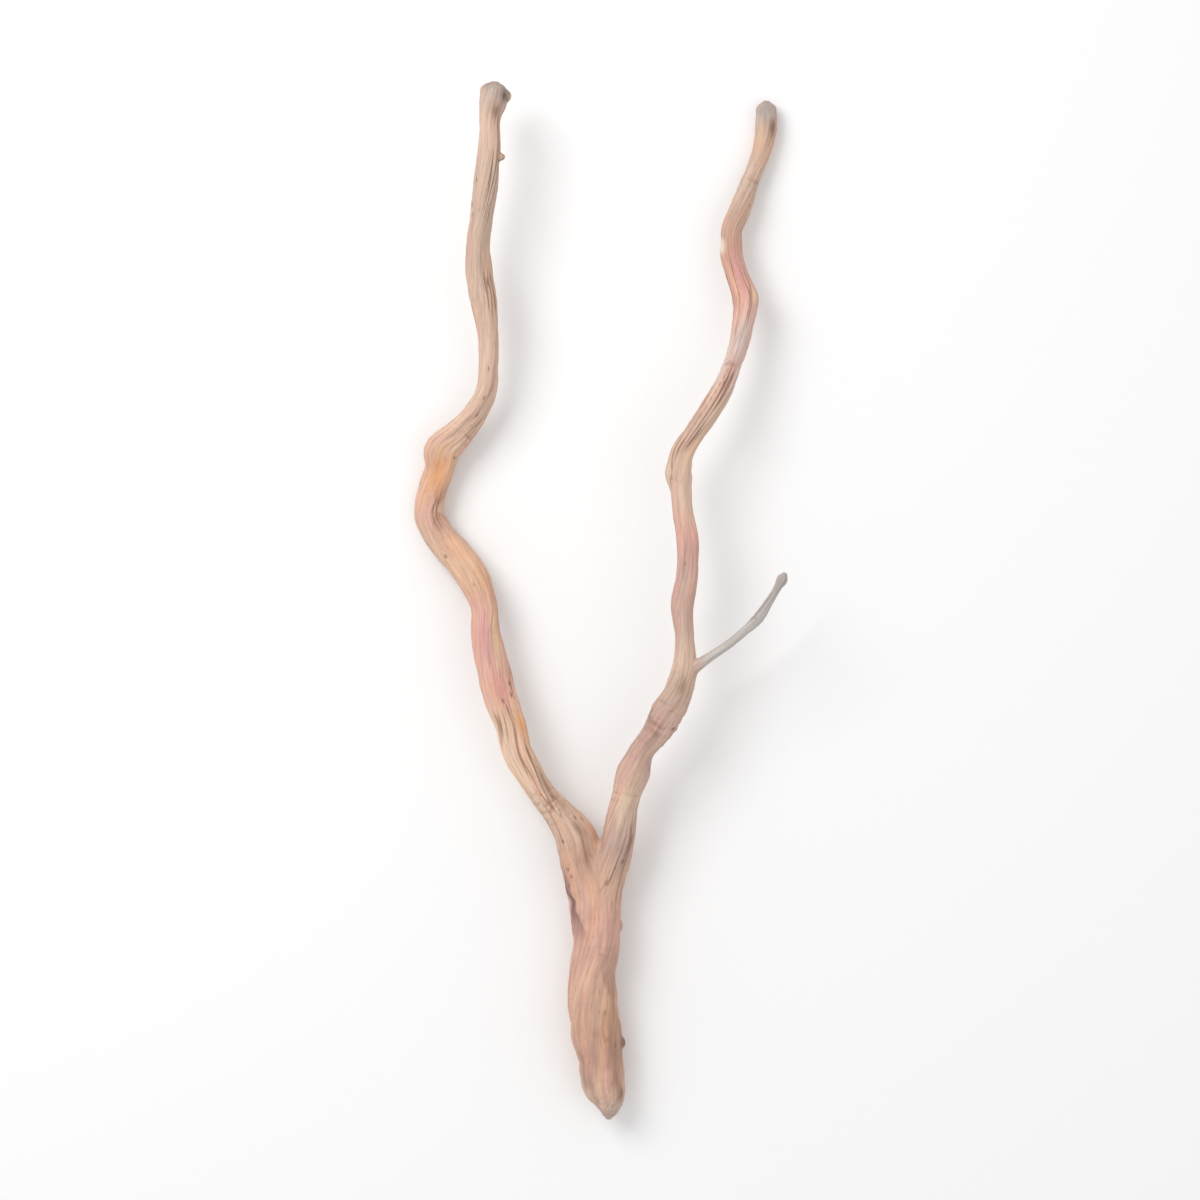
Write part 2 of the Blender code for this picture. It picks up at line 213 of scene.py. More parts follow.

# Marks that sit in one place, a few of them painted shade and one a painted highlight: centre, reach
# across and along the grain, colour, strength, edge
SOFT, CRISP = 1, 2
Mark = namedtuple("Mark", "x y z across along colour strength edge", defaults=[SOFT])
MAIN_MARKS = [
    # The dark furrow on the stem's left: painted shade in the furrow, and remnant bark
    Mark(-22.5, -262, 33, 4.0, 32, "#7F5F5E", 0.9),
    # Painted shade in the valley below the main fork's crotch
    Mark(-9, -226, 47, 8, 15, "#A67D69", 0.6),
    # Painted highlight on the crotch of the main fork
    Mark(3, -212, 38, 4, 6, "#E6CFBD", 0.7),
    Mark(21, -386, 25, 5.5, 7, "#6A574E", 0.85),
    Mark(18.5, -428, 32, 5.5, 10, "#755E4E", 0.9),
    # Painted shade down the butt's upper right side
    Mark(12, -390, 38, 6, 32, "#A17866", 0.6),
    Mark(12.5, -412, 37, 2.5, 9, "#97605B", 0.7),
    Mark(-3, -376, 43, 5, 4.5, "#A9816B", 0.6),
    Mark(-12, -416, 33, 4, 10, "#8F7D6E", 0.75),
    # Painted shade down the stem's upper right side
    Mark(15, -352, 36, 5, 50, "#A07A66", 0.6),
    Mark(17, -284, 28, 4, 5, "#A98571", 0.6),
    # Painted shade on the upper right side of the left limb's root, near the fork
    Mark(-40, -168, 45, 3.5, 17, "#A0775F", 0.7),
    # Painted shade along the inner edge of the left limb's root, at the fork
    Mark(-17, -198, 45, 3.6, 22, "#86685A", 0.65),
    Mark(-82, 433, 62, 5, 6.5, "#675850", 0.9),
    Mark(-96, 441, 62, 4, 4, "#8A7464", 0.8),
    Mark(-89, 419, 65, 4, 8, "#8F705A", 0.8),
    Mark(-84, 381, 56, 3.5, 4, "#8E7B6E", 0.8),
    Mark(-68, -107, 47, 5.5, 22, "#D99A5F", 0.85),
    Mark(-86, -77, 50, 7, 18, "#DC9688", 0.75),
    Mark(-101, -32, 44, 6, 32, "#D69797", 0.75),
    Mark(-91, -28, 40, 3.5, 30, "#E9CFA4", 0.6),
    Mark(-128, 44, 28, 8, 16, "#E8AC78", 0.7),
    Mark(-156, 72, 19, 5, 26, "#BD9898", 0.8),
    Mark(-148, 74, 26, 6, 24, "#D09E90", 0.75),
    Mark(-138, 80, 26, 3, 22, "#B78468", 0.7),
    Mark(-141, 110, 27, 8, 16, "#E5A26C", 0.85),
    Mark(-93, 262, 50, 4, 40, "#C0957B", 0.5),
]
RIGHT_MARKS = [
    Mark(106.5, 307, 28, 4.2, 12, "#E6D9C3", 0.9, CRISP),
    Mark(121, 282, 36, 4.5, 26, "#DA9498", 0.6),
    Mark(134, 262, 38, 5, 9, "#E6C49F", 0.7),
    Mark(151.5, 412, 17, 4, 13, "#7D6049", 0.9),
    Mark(141, 408, 16, 3.5, 12, "#E0BFA2", 0.7),
    Mark(42, -124, 60, 5, 24, "#A88578", 0.55),
    Mark(70, -76, 62, 5, 9, "#8F6A57", 0.75),
    Mark(80, 36, 63, 4, 30, "#B58880", 0.6),
    Mark(66, 8, 62, 4, 26, "#CF9F97", 0.5),
    Mark(70, 120, 60, 7, 9, "#DCC0A2", 0.5),
    Mark(112, 198, 48, 5, 18, "#D99E88", 0.6),
    Mark(122, 226, 44, 5, 16, "#BDB0AC", 0.5),
    Mark(22, -172, 55, 5, 26, "#DCC3A8", 0.5),
]

# Fine wrinkles across the grain, where a limb bends: distance along it, reach and strength
MAIN_WRINKLES = [(150, 7, 0.8), (284, 14, 1.0), (300, 9, 0.6), (535, 16, 0.5), (642, 20, 1.0)]
RIGHT_WRINKLES = [(140, 12, 0.6), (215, 26, 1.0), (425, 14, 0.5), (535, 24, 0.6), (700, 24, 0.7)]

# Where it is knobblier than elsewhere: distance along it, reach and strength
MAIN_KNOBS = [(0, 34, 1.6), (620, 40, 0.5), (945, 26, 1.2)]
RIGHT_KNOBS = [(210, 40, 0.5), (420, 20, 0.4), (775, 22, 0.9)]

# Widths of the wrinkles, the checks and the patches that have checks or pits, and the pits' spacing
WRINKLE_WIDTH = 4.2
CHECK_WIDTH = 6.5
CHECK_PATCH = 26.0
PIT_PATCH = 31.0
PIT_SPACING = 9

# The patterns in the wood's colour, how strongly each one shows, and the growth rings' spacing
STREAKS = ("Warm", "Rosy", "Dusky", "Fibre", "Pore", "Ring")
STREAK_STRENGTHS = {"Warm": 0.31, "Rosy": 0.36, "Dusky": 0.52}
PORE_STRENGTH = 0.35
RING_STRENGTH = 0.6
# How strongly the painted shade in the hollows shows
HOLLOW_SHADE_STRENGTH = 0.72
RING_SPACING = 1.9

# From the gaps between fibres to their crests: how light they are and what that adds to roughness
FIBRE_LIGHTNESS = (0.85, 1.09)
FIBRE_ROUGHNESS = (0.08, -0.06)

# The bump of the fibres in millimetres, the depth of the pores as a share of it, and the gloss
BUMP_HEIGHT = 0.25
PORE_BUMP = -0.8
WOOD_SPECULAR = 0.35

# The studio, in metres and watts: floor, sky, lights by name, place, width and power, and camera,
# which looks straight down from where the branch fills the frame as it does in the photograph
FLOOR_WIDTH = 40.0
SKY_STRENGTH = 0.68
STUDIO_LIGHTS = [
    ("key_light", (-1.5, 1.4, 2.1), 1.6, 42),
    ("fill_light", (1.8, -0.6, 2.6), 2.4, 8),
]
CAMERA_PLACE = (0.00144, 0.00206, 2.925)
LENS = 100
SENSOR_WIDTH = 36


def colour_of(hex_colour):
    """A linear colour from its sRGB hex value."""
    channels = (int(hex_colour[i : i + 2], 16) / 255 for i in (1, 3, 5))
    return tuple(c / 12.92 if c <= 0.04045 else ((c + 0.055) / 1.055) ** 2.4 for c in channels)


def smooth_path(stations, spacing):
    """Rows of x, y, z and radius along a smooth curve through the stations."""
    rows = np.array(stations, float)
    spans = np.linalg.norm(np.diff(rows[:, :3], axis=0), axis=1)
    slopes = np.diff(rows, axis=0) / spans[:, None]
    before = spans[:-1, None]
    after = spans[1:, None]
    middle = (slopes[:-1] * after + slopes[1:] * before) / (before + after)
    tangents = np.vstack([slopes[:1], middle, slopes[-1:]])
    path = [rows[:1]]
    for i, span in enumerate(spans):
        pieces = max(1, round(span / spacing))
        t = (np.arange(1, pieces + 1) / pieces)[:, None]
        path.append(
            (2 * t**3 - 3 * t**2 + 1) * rows[i]
            + (t**3 - 2 * t**2 + t) * span * tangents[i]
            + (3 * t**2 - 2 * t**3) * rows[i + 1]
            + (t**3 - t**2) * span * tangents[i + 1]
        )
    return np.vstack(path)


def unit(rows):
    """Each row as a direction of length 1."""
    return rows / np.linalg.norm(rows, axis=-1, keepdims=True)


def rows_at(distance, along, rows):
    """Rows of values at each distance, between those that are given along the way."""
    return np.stack([np.interp(distance, along, rows[:, i]) for i in range(rows.shape[1])], -1)


def strength_at(along, places):
    """The strength at each distance along a limb of places given by distance, reach and strength."""
    total = np.zeros(len(along))
    for distance, reach, strength in places:
        total += strength * np.exp(-(((along - distance) / reach) ** 2))
    return total


class Limb:
    """A limb's centre line and everything that is told along it."""

    def __init__(self, stations, swellings, tones, marks, wrinkles, knobs, grain_start):
        path = smooth_path(stations, PATH_STEP)
        self.points = path[:, :3]
        self.girths = path[:, 3]
        steps = np.linalg.norm(np.diff(self.points, axis=0), axis=1)
        self.along = np.concatenate([[0], np.cumsum(steps)])
        self.length = self.along[-1]
        self.ways = unit(np.gradient(self.points, axis=0))
        self.sides = unit(np.cross(self.ways, (0, 0, 1)))
        self.ups = np.cross(self.sides, self.ways)
        self.swellings = swellings
        self.tones = tones
        self.marks = marks
        self.wrinkles = wrinkles
        self.knobs = knobs
        self.grain_start = grain_start
        self.grain_radius = float(self.girths.mean())
        # The girth that the wood had before its ends were worn round, and how far it is worn there
        inside = np.clip(self.along, self.girths[0] + SHOULDER, self.length - SHOULDER)
        self.full_girths = np.maximum(np.interp(inside, self.along, self.girths), self.girths)
        steep = np.abs(np.gradient(self.girths, self.along))
        self.worn_ends = np.clip((steep - WORN_FROM) / WORN_RANGE, 0, 1)
        # The places that the grain follows, some of them straight on beyond both ends
        beyond = GUIDE_SPACING * np.arange(1, GUIDES_BEYOND + 1)[:, None]
        before = self.points[0] - beyond[::-1] * self.ways[0]
        after = self.points[-1] + beyond * self.ways[-1]
        inner = np.arange(0, self.length, GUIDE_SPACING)
        self.guides = np.vstack([before, rows_at(inner, self.along, self.points), after])
        self.guides_along = np.concatenate([-beyond[::-1, 0], inner, self.length + beyond[:, 0]])

    def nearest(self, points):
        """The index of the nearest place on the centre line, found roughly and then finely."""
        rough = self.points[::STRIDE]
        found = np.empty(len(points), int)
        for start in range(0, len(points), CHUNK):
            part = points[start : start + CHUNK]
            gaps = (rough**2).sum(1) - 2 * part @ rough.T
            window = gaps.argmin(1)[:, None] * STRIDE + np.arange(-STRIDE, STRIDE + 1)
            window = np.clip(window, 0, len(self.points) - 1)
            apart = ((self.points[window] - part[:, None]) ** 2).sum(-1)
            found[start : start + CHUNK] = window[np.arange(len(part)), apart.argmin(1)]
        return found

    def locate(self, points, nearest):
        """How far along the limb each point is, its angle around it and its distance from it."""
        away = points - self.points[nearest]
        along = self.along[nearest] + (away * self.ways[nearest]).sum(1)
        along = np.clip(along, 0, self.length)
        away = points - rows_at(along, self.along, self.points)
        side = (away * self.sides[nearest]).sum(1)
        up = (away * self.ups[nearest]).sum(1)
        return along, np.arctan2(up, side), np.linalg.norm(away, axis=1)

    def follow(self, points):
        """Like locate, but eased over several millimetres so that nothing jumps in tight bends."""
        along = np.empty(len(points))
        for start in range(0, len(points), CHUNK):
            part = points[start : start + CHUNK]
            gaps = (self.guides**2).sum(1) - 2 * part @ self.guides.T
            share = np.exp((gaps.min(1, keepdims=True) - gaps) / GUIDE_EASE**2)
            along[start : start + CHUNK] = share @ self.guides_along / share.sum(1)
        away = points - rows_at(along, self.along, self.points)
        side = (away * rows_at(along, self.along, self.sides)).sum(1)
        up = (away * rows_at(along, self.along, self.ups)).sum(1)
        return along, np.arctan2(up, side), np.hypot(side, up)

    def radius(self, along, angle):
        """The lobed section's radius, before its swellings."""
        turned = angle + 2 * math.pi * along / LENGTH_OF_ONE_TURN
        lobes = sum(depth * np.cos(n * turned + place) for n, depth, place in LOBES)
        return np.interp(along, self.along, self.girths) * (1 + lobes)

    def swollen(self, points):
        """How far the swellings move the surface outwards at these points."""
        total = np.zeros(len(points))
        for x, y, z, width, height, steepness in self.swellings:
            share = np.linalg.norm(points - (x, y, z), axis=1) / width
            total += height * np.exp(-(share**steepness))
        return total

    def surface(self, along, angle):
        """Points on the limb's surface."""
        side = np.cos(angle)[:, None] * rows_at(along, self.along, self.sides)
        up = np.sin(angle)[:, None] * rows_at(along, self.along, self.ups)
        centre = rows_at(along, self.along, self.points)
        points = centre + self.radius(along, angle)[:, None] * (side + up)
        return points + self.swollen(points)[:, None] * (side + up)

    def grain(self, along, angle, distance):
        """The place in the grain, as if the limb were a straight round bar; it winds slowly."""
        turned = angle + 2 * math.pi * along / GRAIN_TURN
        full = np.interp(along, self.along, self.full_girths)
        across = self.grain_radius * (distance / full)[:, None]
        across = across * np.stack([np.cos(turned), np.sin(turned)], -1)
        return np.column_stack([across, along + self.grain_start])

    def tone(self, points, along, angle):
        """The wood's colour at each point without streaks; a few marks are painted shade and
        highlight; darker below.
        """
        stops = [distance for distance, _ in self.tones]
        colours = np.array([colour_of(colour) for _, colour in self.tones])
        tone = rows_at(along, stops, colours)
        for mark in self.marks:
            centre = np.array([[mark.x, mark.y, mark.z]], float)
            ahead = along - self.follow(centre)[0]
            apart = ((points - centre) ** 2).sum(1) - ahead**2
            reach = (ahead / mark.along) ** 2 + np.maximum(apart, 0) / mark.across**2
            share = mark.strength * np.exp(-(reach**mark.edge))[:, None]
            tone = tone * (1 - share) + share * np.array(colour_of(mark.colour))
        # Darker towards the underside
        below = UNDERSIDE_DARKENING * np.clip(-np.sin(angle), 0, 1)[:, None] ** UNDERSIDE_DARKENING_FADE
        return tone * (1 - below) + below * np.array(colour_of(UNDERSIDE_DARK_COLOUR))

    def place(self, distance):
        """The point on the centre line at a distance along it, and the direction there."""
        before, after = (
            rows_at(np.array([distance + step]), self.along, self.points)[0]
            for step in (-DIRECTION_REACH, DIRECTION_REACH)
        )
        return (before + after) / 2, unit(after - before)


MAIN = Limb(MAIN_STATIONS, MAIN_SWELLINGS, MAIN_TONES, MAIN_MARKS, MAIN_WRINKLES, MAIN_KNOBS, 0)
RIGHT = Limb(
    RIGHT_STATIONS, RIGHT_SWELLINGS, RIGHT_TONES, RIGHT_MARKS, RIGHT_WRINKLES, RIGHT_KNOBS, 1500
)
TWIG = Limb(TWIG_STATIONS, [], TWIG_TONES, [], [(95, 12, 0.6)], [(141, 10, 1.0)], 3000)


def tube(limb, start, end, spacing_and_around, closed_start=False):
    """Rings of points along a limb, and the faces between them and over its far end."""
    spacing, around = spacing_and_around
    rings = max(3, round((end - start) / spacing)) + 1
    along = np.repeat(np.linspace(start, end, rings), around)
    angle = np.tile(np.linspace(0, 2 * math.pi, around, endpoint=False), rings)
    points = limb.surface(along, angle)
    index = np.arange(rings * around).reshape(rings, around)
    after = np.roll(index, -1, axis=1)
    quads = np.stack([index[:-1], index[1:], after[1:], after[:-1]], -1).reshape(-1, 4)
    faces = quads.tolist()
    tips = [(index[0], start)] if closed_start else []
    for ring, distance in (*tips, (index[-1][::-1], end)):
        tip = rows_at(np.array([distance]), limb.along, limb.points)
        tip_index = len(points)
        points = np.vstack([points, tip])
        faces += [[tip_index, int(a), int(b)] for a, b in zip(ring, np.roll(ring, -1))]
    return points, faces


def mesh_of(name, points, faces):
    """A mesh of points in millimetres."""
    mesh = bpy.data.meshes.new(name)
    mesh.from_pydata((points * MM).tolist(), [], faces)
    mesh.update()
    return mesh


def with_modifier(mesh, kind, set_up):
    """The mesh that a modifier makes of a mesh; set_up gives the modifier its values."""
    helper = bpy.data.objects.new("helper", mesh)
    bpy.context.scene.collection.objects.link(helper)
    set_up(helper.modifiers.new(kind.lower(), kind))
    graph = bpy.context.evaluated_depsgraph_get()
    made = bpy.data.meshes.new_from_object(helper.evaluated_get(graph))
    bpy.data.objects.remove(helper)
    return made


def points_of(mesh):
    """A mesh's points in millimetres."""
    flat = np.empty(len(mesh.vertices) * 3, np.float32)
    mesh.vertices.foreach_get("co", flat)
    return flat.reshape(-1, 3).astype(float) / MM


def set_points(mesh, points):
    """Moves a mesh's points to places in millimetres."""
    mesh.vertices.foreach_set("co", (points * MM).astype(np.float32).ravel())
    mesh.update()


def outside(limbs, flow, points, nearest):
    """How far points are outside two limbs that flow together, and the second limb's share."""
    gaps = []
    for limb, indices in zip(limbs, nearest):
        along, angle, distance = limb.locate(points, indices)
        gaps.append(distance - limb.radius(along, angle) - limb.swollen(points))
    share = np.clip(0.5 + 0.5 * (gaps[0] - gaps[1]) / flow, 0, 1)
    joined = gaps[0] * (1 - share) + gaps[1] * share - flow * share * (1 - share)
    return joined, share


def onto_surface(limbs, flow, points, times):
    """Moves points onto the surface of two limbs that flow together, a step at a time."""
    reach = 0.2
    least_slope = 0.25
    for _ in range(times):
        nearest = [limb.nearest(points) for limb in limbs]
        here, _ = outside(limbs, flow, points, nearest)
        slope = np.empty_like(points)
        for axis in range(3):
            moved = points.copy()
            moved[:, axis] += reach
            slope[:, axis] = (outside(limbs, flow, moved, nearest)[0] - here) / reach
        steep = np.maximum((slope**2).sum(1, keepdims=True), least_slope)
        points = points - here[:, None] * slope / steep
    return points


def cut_away(mesh, limb, distance, beyond):
    """Cuts a mesh off at a limb's parting and removes what lies beyond it, or before it.

    Only faces near the parting are cut, so that another limb isn't.
    """
    point, way = limb.place(distance)
    form = bmesh.new()
    form.from_mesh(mesh)
    sign = -1 if beyond else 1
    reach = NEAR_A_CUT * limb.grain_radius * MM
    centre = Vector(point * MM)
    near = [face for face in form.faces if (face.calc_center_median() - centre).length < reach]
    geometry = {item for face in near for item in (face, *face.edges, *face.verts)}
    bmesh.ops.bisect_plane(
        form,
        geom=list(geometry),
        dist=CUT_TOLERANCE * MM,
        plane_co=centre,
        plane_no=Vector(way) * sign,
        clear_inner=True,
    )
    form.to_mesh(mesh)
    form.free()


def fork_mesh(name, limbs, flow, runs, voxel):
    """The joined form of two limbs at their fork, as one closed skin."""

    def voxels(modifier):
        modifier.mode = "VOXEL"
        modifier.voxel_size = voxel * MM

    def one_level(modifier):
        modifier.levels = modifier.render_levels = 1

    points = np.empty((0, 3))
    faces = []
    for limb, (start, end) in zip(limbs, runs):
        more, new_faces = tube(limb, start, end, ROUGH_RINGS, closed_start=True)
        faces += [[i + len(points) for i in face] for face in new_faces]
        points = np.vstack([points, more])
    rough = with_modifier(mesh_of(name, points, faces), "REMESH", voxels)
    set_points(rough, onto_surface(limbs, flow, points_of(rough), 3))
    fine = with_modifier(rough, "SUBSURF", one_level)
    set_points(fine, onto_surface(limbs, flow, points_of(fine), 2))
    return fine


def store(mesh, name, kind, values):
    """Writes one value for each point under a name that the nodes read."""
    attribute = mesh.attributes.new(name, kind, "POINT")
    key = {"FLOAT": "value", "FLOAT_VECTOR": "vector", "FLOAT_COLOR": "color"}[kind]
    attribute.data.foreach_set(key, np.ascontiguousarray(values, np.float32).ravel())


def tell_grain(mesh, limbs, flow):
    """Stores where each point lies in the grain of one limb or of two that meet, and its tone."""
    points = points_of(mesh)
    share = np.zeros(len(points))
    if len(limbs) == 2:
        share = outside(limbs, flow, points, [limb.nearest(points) for limb in limbs])[1]
    told = {"girth": [], "wrinkle": [], "knobs": [], "end": [], "tone": [], "grain": []}
    for limb in (limbs[0], limbs[-1]):
        along, angle, distance = limb.follow(points)
        told["end"].append(np.interp(along, limb.along, limb.worn_ends))
        told["girth"].append(np.interp(along, limb.along, limb.girths))
        told["wrinkle"].append(strength_at(along, limb.wrinkles))
        told["knobs"].append(1 + strength_at(along, limb.knobs))
        told["tone"].append(limb.tone(points, along, angle))
        told["grain"].append(limb.grain(along, angle, distance))
    store(mesh, "grain_first", "FLOAT_VECTOR", told["grain"][0])
    store(mesh, "grain_second", "FLOAT_VECTOR", told["grain"][1])
    store(mesh, "share_second", "FLOAT", share)
    for name in ("girth", "wrinkle", "knobs", "end"):
        store(mesh, name, "FLOAT", told[name][0] * (1 - share) + told[name][1] * share)
    second = share[:, None]
    tone = told["tone"][0] * (1 - second) + told["tone"][1] * second
    store(mesh, "tone", "FLOAT_COLOR", np.column_stack([tone, np.ones(len(tone))]))


def add(tree, kind, inputs=None, **settings):
    """Adds a node to a tree: its settings, and its inputs as values, sockets or other nodes.

    A node given as an input is linked from its first output.
    """
    made = tree.nodes.new(kind)
    for name, value in settings.items():
        setattr(made, name, value)
    for name, value in (inputs or {}).items():
        if isinstance(value, bpy.types.Node):
            value = value.outputs[0]
        if isinstance(value, bpy.types.NodeSocket):
            tree.links.new(value, made.inputs[name])
        else:
            made.inputs[name].default_value = value
    return made


def new_tree(name, kind, inputs, outputs):
    """A node group with named sockets; returns it with its input and output nodes."""
    tree = bpy.data.node_groups.new(name, kind)
    for way, sockets in (("INPUT", inputs), ("OUTPUT", outputs)):
        for socket, socket_kind in sockets:
            tree.interface.new_socket(socket, in_out=way, socket_type=socket_kind)
    return tree, add(tree, "NodeGroupInput"), add(tree, "NodeGroupOutput")


# The sizes of the relief: inputs of its node tree, and values that a user can change
RELIEF_SIZES = (
    "Flute Depth", "Flute Width", "Knob Depth", "Knob Width", "Grain Depth", "Grain Width",
    "Wrinkle Depth", "Check Depth", "Pit Depth", "Seed",
)


def relief_group():
    """Height of the wood's surface at a place in its grain, in millimetres, and how hollow it is."""
    numbers = ("Girth", "Wrinkle", "Knobs", *RELIEF_SIZES)
    tree, given, result = new_tree(
        "wood_height",
        "GeometryNodeTree",
        [("Grain", "NodeSocketVector"), *((name, "NodeSocketFloat") for name in numbers)],
        [("Height", "NodeSocketFloat"), ("Hollow", "NodeSocketFloat")],
    )
    value = {name: given.outputs[name] for name in ("Grain", *numbers)}
    # Noises, mostly from -1 to 1: name, width in millimetres, stretch, detail, and the place that
    # sets each apart. A stretch below 1 draws it out that way: the third number is along the grain
    noises = [
        ("flutes", value["Flute Width"], (1, 1, 0.11), 2.0, 1.0),
        ("knobs", value["Knob Width"], (1, 1, 0.55), 2.0, 41.0),
        ("ridges", value["Grain Width"], (1, 1, 0.06), 3.0, 7.0),
        ("wrinkles", WRINKLE_WIDTH, (0.25, 0.25, 1), 2.0, 47.0),
        ("lines", CHECK_WIDTH, (1, 1, 0.035), 1.0, 13.0),
        ("check patches", CHECK_PATCH, (1, 1, 0.33), 1.0, 21.0),
        ("pit patches", PIT_PATCH, (1, 1, 0.5), 1.0, 33.0),
    ]
    for name, width, stretch, detail, place in noises:
        pressed = add(
            tree, "ShaderNodeVectorMath", {0: value["Grain"], 1: stretch}, operation="MULTIPLY"
        )
        seed = add(tree, "ShaderNodeMath", {0: value["Seed"], 1: place}, operation="ADD")
        scale = add(tree, "ShaderNodeMath", {0: 1.0, 1: width}, operation="DIVIDE")
        made = add(
            tree,
            "ShaderNodeTexNoise",
            {"Vector": pressed, "W": seed, "Scale": scale, "Detail": detail},
            noise_dimensions="4D",
        )
        centred = add(tree, "ShaderNodeMath", {0: made, 1: 0.5}, operation="SUBTRACT")
        value[name] = add(tree, "ShaderNodeMath", {0: centred, 1: 4.0}, operation="MULTIPLY")
    pressed = add(
        tree, "ShaderNodeVectorMath", {0: value["Grain"], 1: (1, 1, 0.5)}, operation="MULTIPLY"
    )
    value["cells"] = add(
        tree, "ShaderNodeTexVoronoi", {"Vector": pressed, "Scale": 1 / PIT_SPACING}
    )
    value["lines"] = add(tree, "ShaderNodeMath", {0: value["lines"]}, operation="ABSOLUTE")
    # Checks are narrow lines where a noise crosses zero, here and there; pits are few and round.
    # Hollows, which get painted shade, are all of them and the floors between ridges and wrinkles.
    # Each step has a name, what it does and with what. A ramp rises smoothly from 0 to 1 between
    # two values; the others work through two or more.
    steps = [
        ("flutes", "MULTIPLY", "flutes", "Flute Depth", "Girth"),
        ("knobs", "MULTIPLY", "knobs", "Knob Depth", "Girth", "Knobs"),
        ("wrinkles", "MULTIPLY", "wrinkles", "Wrinkle Depth", "Wrinkle"),
        ("lines", "RAMP", "lines", 0.14, 0.016),
        ("check patches", "RAMP", "check patches", 0.12, 0.48),
        ("checks", "MULTIPLY", "lines", "check patches"),
        ("cells", "RAMP", "cells", 0.18, 0.07),
        ("pit patches", "RAMP", "pit patches", 0.0, 0.32),
        ("pits", "MULTIPLY", "cells", "pit patches"),
        ("ridge height", "MULTIPLY", "ridges", "Grain Depth"),
        ("check height", "MULTIPLY", "checks", "Check Depth", -1.0),
        ("pit height", "MULTIPLY", "pits", "Pit Depth", -1.0),
        ("Height", "ADD", "flutes", "knobs", "wrinkles", "ridge height", "check height", "pit height"),
        ("low ridges", "RAMP", "ridges", -0.3, -1.6),
        ("low ridges", "MULTIPLY", "low ridges", 0.55),
        ("low wrinkles", "RAMP", "wrinkles", -0.05, -0.5),
        ("low wrinkles", "MULTIPLY", "low wrinkles", 0.6),
        ("Hollow", "MAXIMUM", "checks", "pits", "low ridges", "low wrinkles"),
    ]
    for name, what, first, *more in steps:
        total = value[first]
        if what == "RAMP":
            low, high = more
            total = add(
                tree,
                "ShaderNodeMapRange",
                {"Value": total, "From Min": low, "From Max": high},
                interpolation_type="SMOOTHSTEP",
            )
        else:
            for item in more:
                both = {0: total, 1: value.get(item, item)}
                total = add(tree, "ShaderNodeMath", both, operation=what)
        value[name] = total
    for name in ("Height", "Hollow"):
        tree.links.new(value[name].outputs[0], result.inputs[name])
    return tree


def relief_tree():
    """Geometry Nodes that raise the worn grain, wrinkles, checks and pits on a piece."""
    sizes = [(name, "NodeSocketFloat") for name in RELIEF_SIZES]
    tree, given, result = new_tree(
        "worn_wood_relief",
        "GeometryNodeTree",
        [("Geometry", "NodeSocketGeometry"), *sizes, ("Wood", "NodeSocketMaterial")],
        [("Geometry", "NodeSocketGeometry")],
    )
    group = relief_group()
    stored = {
        name: add(tree, "GeometryNodeInputNamedAttribute", {"Name": name}, data_type=kind)
        for kind, names in (
            ("FLOAT", ("girth", "wrinkle", "knobs", "share_second")),
            ("FLOAT_VECTOR", ("grain_first", "grain_second")),
        )
        for name in names
    }
    shared = {name: stored[name.lower()] for name in ("Girth", "Wrinkle", "Knobs")}
    shared.update({name: given.outputs[name] for name in RELIEF_SIZES})
    first, second = (
        add(tree, "GeometryNodeGroup", {"Grain": stored[name], **shared}, node_tree=group).outputs
        for name in ("grain_first", "grain_second")
    )
    # Sockets 2 and 3 of a mix node are its numbers
    height, hollow = (
        add(
            tree,
            "ShaderNodeMix",
            {0: stored["share_second"], 2: first[name], 3: second[name]},
            data_type="FLOAT",
        )
        for name in ("Height", "Hollow")
    )
    metres = add(tree, "ShaderNodeMath", {0: height, 1: MM}, operation="MULTIPLY")
    normal = add(tree, "GeometryNodeInputNormal")
    move = add(tree, "ShaderNodeVectorMath", {0: normal, "Scale": metres}, operation="SCALE")
    raised = add(
        tree, "GeometryNodeSetPosition", {"Geometry": given.outputs["Geometry"], "Offset": move}
    )
    kept = add(
        tree,
        "GeometryNodeStoreNamedAttribute",
        {"Geometry": raised, "Name": "hollow", "Value": hollow},
        data_type="FLOAT",
        domain="POINT",
    )
    real = add(tree, "GeometryNodeRealizeInstances", {"Geometry": kept})
    wood = given.outputs["Wood"]
    finished = add(tree, "GeometryNodeSetMaterial", {"Geometry": real, "Material": wood})
    tree.links.new(finished.outputs[0], result.inputs["Geometry"])
    return tree


def raise_relief(mesh, wood, values):
    """The mesh with its worn relief, as a plain mesh."""
    tree = bpy.data.node_groups.get("worn_wood_relief") or relief_tree()
    sockets = {
        item.name: item.identifier
        for item in tree.interface.items_tree
        if item.item_type == "SOCKET" and item.in_out == "INPUT"
    }

    def relief(modifier):
        modifier.node_group = tree
        for name, value in values.items():
            modifier[sockets[name]] = value
        modifier[sockets["Wood"]] = wood

    return with_modifier(mesh, "NODES", relief)


